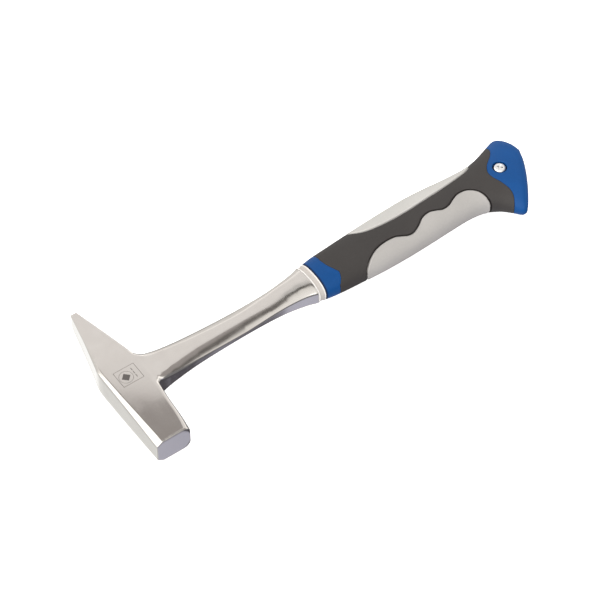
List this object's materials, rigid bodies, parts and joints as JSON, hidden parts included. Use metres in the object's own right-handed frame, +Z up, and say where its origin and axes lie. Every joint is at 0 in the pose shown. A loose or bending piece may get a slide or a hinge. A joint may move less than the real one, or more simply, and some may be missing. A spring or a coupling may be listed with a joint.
{
  "type": "rock hammer",
  "caption": "One-piece forged steel hammer with a square striking face, a tapered cross-wise pick and a bolted soft grip with a flared, slanted butt.",
  "frame": {"origin": "on the flat of the lower cheek, straight below the point where the handle's centre line crosses the head", "axes": "+X along the handle from the head to the butt, +Y from the handle's centre line towards the pick, +Z up through the head's thickness, from the cheek it lies on to the other"},
  "size_m": [0.3252, 0.1156, 0.024],
  "materials": {
    "forged_steel": "satin ground and clear lacquered",
    "light_grey_plastic": "fine moulded",
    "light_grey_rubber": "matte soft touch",
    "dark_grey_rubber": "matte soft touch",
    "blue_plastic": "satin moulded",
    "black_nylon": "moulded, unseen inside the grip",
    "black_rubber": "matte",
    "zinc_steel": "bright zinc plated"
  },
  "bodies": {
    "root": {"hammer_forging": "forged_steel", "front_collar": "light_grey_plastic", "front_damping_ring": "black_rubber", "tang_damping_sleeve": "black_rubber", "grip_core_upper": "black_nylon", "grip_core_lower": "black_nylon", "blue_front_band": "blue_plastic", "soft_grip_body": "dark_grey_rubber", "finger_panel": "light_grey_rubber", "palm_panel": "light_grey_rubber", "butt_cap": "blue_plastic", "butt_screw": "zinc_steel", "barrel_nut": "zinc_steel", "screw_bushing": "zinc_steel", "rear_damping_bush": "black_rubber"}
  },
  "joints": []
}
